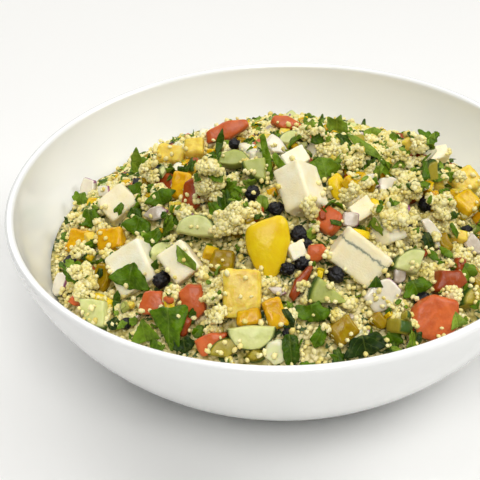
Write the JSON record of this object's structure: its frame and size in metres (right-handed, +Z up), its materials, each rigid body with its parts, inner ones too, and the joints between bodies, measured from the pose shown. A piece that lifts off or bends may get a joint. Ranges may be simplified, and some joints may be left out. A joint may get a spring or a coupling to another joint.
{
  "type": "couscous tabbouleh salad in a bowl",
  "caption": "Round white bowl heaped with couscous salad: diced cheese, pepper, tomato, cucumber, currants, onion and chopped herbs in a domed mound.",
  "frame": {"origin": "centre of the foot ring's bottom, on the surface that the bowl stands on", "axes": "+Z up out of the bowl's mouth along its axis; -Y towards the side that the picture is taken from, +X to that viewer's right"},
  "size_m": [0.1998, 0.1998, 0.0835],
  "materials": {
    "porcelain": "white glaze",
    "salad": "moist couscous with mixed vegetables"
  },
  "bodies": {
    "root": {"bowl": "porcelain", "salad_heap": "salad"}
  },
  "joints": []
}
